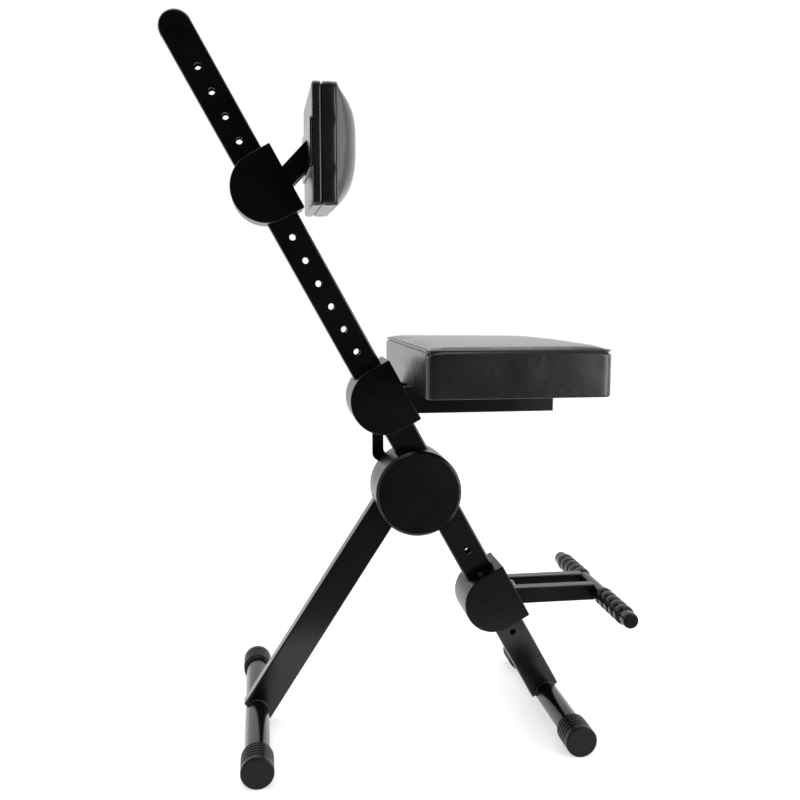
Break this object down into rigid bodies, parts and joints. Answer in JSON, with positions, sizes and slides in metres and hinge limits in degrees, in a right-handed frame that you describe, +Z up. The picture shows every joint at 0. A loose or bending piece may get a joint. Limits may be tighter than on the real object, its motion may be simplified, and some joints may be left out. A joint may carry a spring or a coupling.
{
  "type": "guitar stool",
  "caption": "Folding guitar stool with a leaning column, a height-adjustable padded seat, a domed backrest pad, a footrest bar and a rear leg that folds against the column.",
  "frame": {"origin": "centre of the stool's footprint box on the floor", "axes": "+Z up; -Y is the front, where the seat and the footrest reach out; +X is the sitter's left"},
  "size_m": [0.4382, 0.7141, 1.1259],
  "materials": {
    "powder_coated_steel": "semi-gloss black powder coat",
    "cover_plastic": "satin black moulded plastic",
    "foot_rubber": "ribbed black rubber",
    "grip_rubber": "soft black rubber",
    "black_vinyl": "smooth black vinyl, a coated cloth, over foam",
    "nylon": "dark grey nylon",
    "zinc_steel": "zinc plated",
    "plywood": "bare plywood"
  },
  "bodies": {
    "column_frame": {"column_tube": "powder_coated_steel", "column_end_cap": "cover_plastic", "front_foot_tube": "powder_coated_steel", "front_foot_cap_right": "foot_rubber", "front_foot_cap_left": "foot_rubber", "joint_plate_right": "powder_coated_steel", "joint_plate_left": "powder_coated_steel", "joint_cover_right": "cover_plastic", "joint_cover_left": "cover_plastic", "pivot_bush": "zinc_steel", "pivot_bolt": "zinc_steel", "pivot_nut": "zinc_steel"},
    "rear_leg": {"rear_leg_tube": "powder_coated_steel", "leg_plate_right": "powder_coated_steel", "leg_plate_left": "powder_coated_steel", "rear_foot_tube": "powder_coated_steel", "rear_foot_cap_right": "foot_rubber", "rear_foot_cap_left": "foot_rubber"},
    "trigger": {"trigger_shaft": "zinc_steel", "trigger_lever": "powder_coated_steel", "trigger_grip": "cover_plastic", "lock_pawl": "zinc_steel"},
    "seat_carriage": {"seat_sleeve": "powder_coated_steel", "seat_liner": "nylon", "seat_cover_right": "cover_plastic", "seat_cover_left": "cover_plastic", "seat_rail_right": "powder_coated_steel", "seat_rail_left": "powder_coated_steel", "seat_board": "plywood", "seat_cushion": "black_vinyl"},
    "seat_lock": {"seat_lock_pin": "zinc_steel", "seat_lock_knob": "cover_plastic"},
    "backrest_carriage": {"backrest_sleeve": "powder_coated_steel", "backrest_liner": "nylon", "backrest_cover_right": "cover_plastic", "backrest_cover_left": "cover_plastic", "backrest_arm_right": "powder_coated_steel", "backrest_arm_left": "powder_coated_steel", "backrest_mount_plate": "powder_coated_steel", "backrest_shell": "black_vinyl", "backrest_cushion": "black_vinyl"},
    "backrest_lock": {"backrest_lock_pin": "zinc_steel", "backrest_lock_knob": "cover_plastic"},
    "footrest_carriage": {"footrest_sleeve": "powder_coated_steel", "footrest_liner": "nylon", "footrest_cover_right": "cover_plastic", "footrest_cover_left": "cover_plastic", "footrest_arm_right": "powder_coated_steel", "footrest_arm_left": "powder_coated_steel", "footrest_bar": "powder_coated_steel", "footrest_grip_right": "grip_rubber", "footrest_grip_left": "grip_rubber", "footrest_plug_right": "cover_plastic", "footrest_plug_left": "cover_plastic", "footrest_clamp_bolt": "zinc_steel"},
    "footrest_lock": {"footrest_lock_pin": "zinc_steel", "footrest_lock_knob": "cover_plastic"}
  },
  "joints": [
    {"name": "leg_fold", "type": "hinge", "parent": "column_frame", "child": "rear_leg", "pos_m": [0, -0.03293, 0.386], "axis": [-1, 0, 0], "range_deg": [0, 48.5]},
    {"name": "trigger_pull", "type": "hinge", "parent": "column_frame", "child": "trigger", "pos_m": [0, -0.00592, 0.41496], "axis": [-1, 0, 0], "range_deg": [0, 14], "stiffness_Nm_per_rad": 1.5, "springref_deg": -8.59},
    {"name": "seat_height", "type": "slide", "parent": "column_frame", "child": "seat_carriage", "axis": [0, 0.4824, 0.876], "range_m": [0, 0.164]},
    {"name": "seat_release", "type": "slide", "parent": "seat_carriage", "child": "seat_lock", "axis": [1, 0, 0], "range_m": [0, 0.01], "stiffness_N_per_m": 1200, "springref_m": -0.004},
    {"name": "backrest_height", "type": "slide", "parent": "column_frame", "child": "backrest_carriage", "axis": [0, 0.4824, 0.876], "range_m": [-0.041, 0.205]},
    {"name": "backrest_release", "type": "slide", "parent": "backrest_carriage", "child": "backrest_lock", "axis": [1, 0, 0], "range_m": [0, 0.01], "stiffness_N_per_m": 1200, "springref_m": -0.004},
    {"name": "footrest_height", "type": "slide", "parent": "column_frame", "child": "footrest_carriage", "axis": [0, 0.4824, 0.876], "range_m": [-0.082, 0.082]},
    {"name": "footrest_release", "type": "slide", "parent": "footrest_carriage", "child": "footrest_lock", "axis": [1, 0, 0], "range_m": [0, 0.01], "stiffness_N_per_m": 1200, "springref_m": -0.004}
  ]
}
